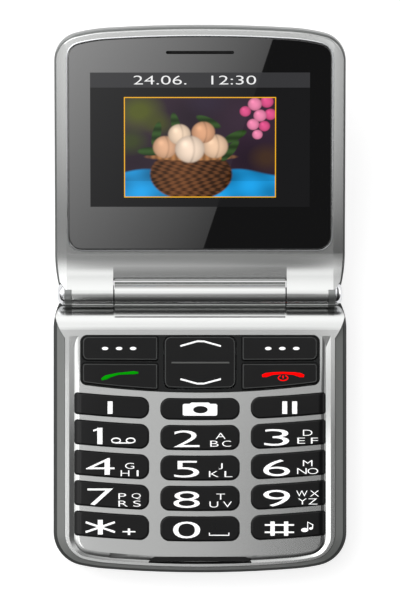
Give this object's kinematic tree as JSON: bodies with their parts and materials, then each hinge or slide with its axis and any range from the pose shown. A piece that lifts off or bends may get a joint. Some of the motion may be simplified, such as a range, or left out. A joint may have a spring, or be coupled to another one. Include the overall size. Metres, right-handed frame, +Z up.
{
  "type": "flip phone",
  "caption": "Open clamshell mobile phone with a silver lid, black display window, wide silver hinge and a keypad of large black keys.",
  "frame": {"origin": "centre of the open phone's footprint, on the surface that it lies on", "axes": "+Z up out of the keypad, +Y from the keypad to the lid, +X to the right of someone reading it"},
  "size_m": [0.068, 0.1268, 0.0264],
  "materials": {
    "silver_plastic": "satin silver paint on moulded ABS",
    "grey_plastic": "satin gunmetal paint on moulded ABS",
    "hinge_metal": "satin chrome",
    "window_black": "glossy black printed acrylic",
    "key_black": "black polycarbonate with white legends",
    "panel_black": "glossy black",
    "bumper_rubber": "matte",
    "mat_rubber": "translucent silicone",
    "board_green": "solder mask",
    "sheet_steel": "bright stamped steel",
    "dark_steel": "black oxide",
    "contact_gold": "gold plated",
    "cell_silver": "wrapped cell",
    "display_glass": "lit display",
    "lens_black": "dark glass",
    "black_plastic": "moulded",
    "mesh_cloth": "acoustic cloth",
    "flex_amber": "polyimide film"
  },
  "bodies": {
    "base": {"base_front_shell": "silver_plastic", "base_rear_shell": "grey_plastic", "nav_panel": "panel_black", "lid_bumper": "bumper_rubber", "main_board": "board_green", "dome_sheet": "sheet_steel", "keypad_mat": "mat_rubber", "shield_cans": "sheet_steel", "battery": "cell_silver", "battery_contacts": "contact_gold", "sim_holder": "sheet_steel", "usb_socket": "sheet_steel", "microphone": "black_plastic", "loudspeaker": "black_plastic", "loudspeaker_mesh": "mesh_cloth", "antenna": "black_plastic", "hall_sensor": "black_plastic", "base_screws": "dark_steel", "hinge_module": "dark_steel", "hinge_flex": "flex_amber"},
    "lid": {"lid_front_shell": "silver_plastic", "lid_rear_shell": "grey_plastic", "display_window": "window_black", "display_gasket": "black_plastic", "display_module": "display_glass", "display_frame": "sheet_steel", "lid_board": "board_green", "display_flex": "flex_amber", "earpiece_speaker": "black_plastic", "earpiece_mesh": "mesh_cloth", "camera_module": "black_plastic", "camera_lens_window": "lens_black", "vibration_motor": "sheet_steel", "lid_magnet": "sheet_steel", "lid_screws": "dark_steel", "hinge_end_caps": "hinge_metal", "hinge_cam_head": "dark_steel", "hinge_hollow_pin": "dark_steel"},
    "cover": {"battery_cover": "grey_plastic"},
    "nav_rocker": {"nav_rocker": "key_black"},
    "soft_key_left": {"soft_key_left": "key_black"},
    "soft_key_right": {"soft_key_right": "key_black"},
    "call_key": {"call_key": "key_black"},
    "end_key": {"end_key": "key_black"},
    "memory_key_1": {"memory_key_1": "key_black"},
    "camera_key": {"camera_key": "key_black"},
    "memory_key_2": {"memory_key_2": "key_black"},
    "key_1": {"key_1": "key_black"},
    "key_2": {"key_2": "key_black"},
    "key_3": {"key_3": "key_black"},
    "key_4": {"key_4": "key_black"},
    "key_5": {"key_5": "key_black"},
    "key_6": {"key_6": "key_black"},
    "key_7": {"key_7": "key_black"},
    "key_8": {"key_8": "key_black"},
    "key_9": {"key_9": "key_black"},
    "key_star": {"key_star": "key_black"},
    "key_0": {"key_0": "key_black"},
    "key_hash": {"key_hash": "key_black"}
  },
  "joints": [
    {"name": "lid_hinge", "type": "hinge", "parent": "base", "child": "lid", "pos_m": [0, 0.00155, 0.0105], "axis": [1, 0, 0], "range_deg": [0, 165]},
    {"name": "cover_slide", "type": "slide", "parent": "base", "child": "cover", "axis": [0, -1, 0], "range_m": [0, 0.046]},
    {"name": "rocker_tip", "type": "hinge", "parent": "base", "child": "nav_rocker", "pos_m": [0, -0.0144, 0.00835], "axis": [1, 0, 0], "range_deg": [-2.2, 2.2], "stiffness_Nm_per_rad": 0.2},
    {"name": "soft_key_left_press", "type": "slide", "parent": "base", "child": "soft_key_left", "axis": [0, 0, -1], "range_m": [0, 0.00035], "stiffness_N_per_m": 2000, "springref_m": -0.0004},
    {"name": "soft_key_right_press", "type": "slide", "parent": "base", "child": "soft_key_right", "axis": [0, 0, -1], "range_m": [0, 0.00035], "stiffness_N_per_m": 2000, "springref_m": -0.0004},
    {"name": "call_key_press", "type": "slide", "parent": "base", "child": "call_key", "axis": [0, 0, -1], "range_m": [0, 0.00035], "stiffness_N_per_m": 2000, "springref_m": -0.0004},
    {"name": "end_key_press", "type": "slide", "parent": "base", "child": "end_key", "axis": [0, 0, -1], "range_m": [0, 0.00035], "stiffness_N_per_m": 2000, "springref_m": -0.0004},
    {"name": "memory_key_1_press", "type": "slide", "parent": "base", "child": "memory_key_1", "axis": [0, 0, -1], "range_m": [0, 0.00035], "stiffness_N_per_m": 2000, "springref_m": -0.0004},
    {"name": "camera_key_press", "type": "slide", "parent": "base", "child": "camera_key", "axis": [0, 0, -1], "range_m": [0, 0.00035], "stiffness_N_per_m": 2000, "springref_m": -0.0004},
    {"name": "memory_key_2_press", "type": "slide", "parent": "base", "child": "memory_key_2", "axis": [0, 0, -1], "range_m": [0, 0.00035], "stiffness_N_per_m": 2000, "springref_m": -0.0004},
    {"name": "key_1_press", "type": "slide", "parent": "base", "child": "key_1", "axis": [0, 0, -1], "range_m": [0, 0.00035], "stiffness_N_per_m": 2000, "springref_m": -0.0004},
    {"name": "key_2_press", "type": "slide", "parent": "base", "child": "key_2", "axis": [0, 0, -1], "range_m": [0, 0.00035], "stiffness_N_per_m": 2000, "springref_m": -0.0004},
    {"name": "key_3_press", "type": "slide", "parent": "base", "child": "key_3", "axis": [0, 0, -1], "range_m": [0, 0.00035], "stiffness_N_per_m": 2000, "springref_m": -0.0004},
    {"name": "key_4_press", "type": "slide", "parent": "base", "child": "key_4", "axis": [0, 0, -1], "range_m": [0, 0.00035], "stiffness_N_per_m": 2000, "springref_m": -0.0004},
    {"name": "key_5_press", "type": "slide", "parent": "base", "child": "key_5", "axis": [0, 0, -1], "range_m": [0, 0.00035], "stiffness_N_per_m": 2000, "springref_m": -0.0004},
    {"name": "key_6_press", "type": "slide", "parent": "base", "child": "key_6", "axis": [0, 0, -1], "range_m": [0, 0.00035], "stiffness_N_per_m": 2000, "springref_m": -0.0004},
    {"name": "key_7_press", "type": "slide", "parent": "base", "child": "key_7", "axis": [0, 0, -1], "range_m": [0, 0.00035], "stiffness_N_per_m": 2000, "springref_m": -0.0004},
    {"name": "key_8_press", "type": "slide", "parent": "base", "child": "key_8", "axis": [0, 0, -1], "range_m": [0, 0.00035], "stiffness_N_per_m": 2000, "springref_m": -0.0004},
    {"name": "key_9_press", "type": "slide", "parent": "base", "child": "key_9", "axis": [0, 0, -1], "range_m": [0, 0.00035], "stiffness_N_per_m": 2000, "springref_m": -0.0004},
    {"name": "key_star_press", "type": "slide", "parent": "base", "child": "key_star", "axis": [0, 0, -1], "range_m": [0, 0.00035], "stiffness_N_per_m": 2000, "springref_m": -0.0004},
    {"name": "key_0_press", "type": "slide", "parent": "base", "child": "key_0", "axis": [0, 0, -1], "range_m": [0, 0.00035], "stiffness_N_per_m": 2000, "springref_m": -0.0004},
    {"name": "key_hash_press", "type": "slide", "parent": "base", "child": "key_hash", "axis": [0, 0, -1], "range_m": [0, 0.00035], "stiffness_N_per_m": 2000, "springref_m": -0.0004}
  ]
}
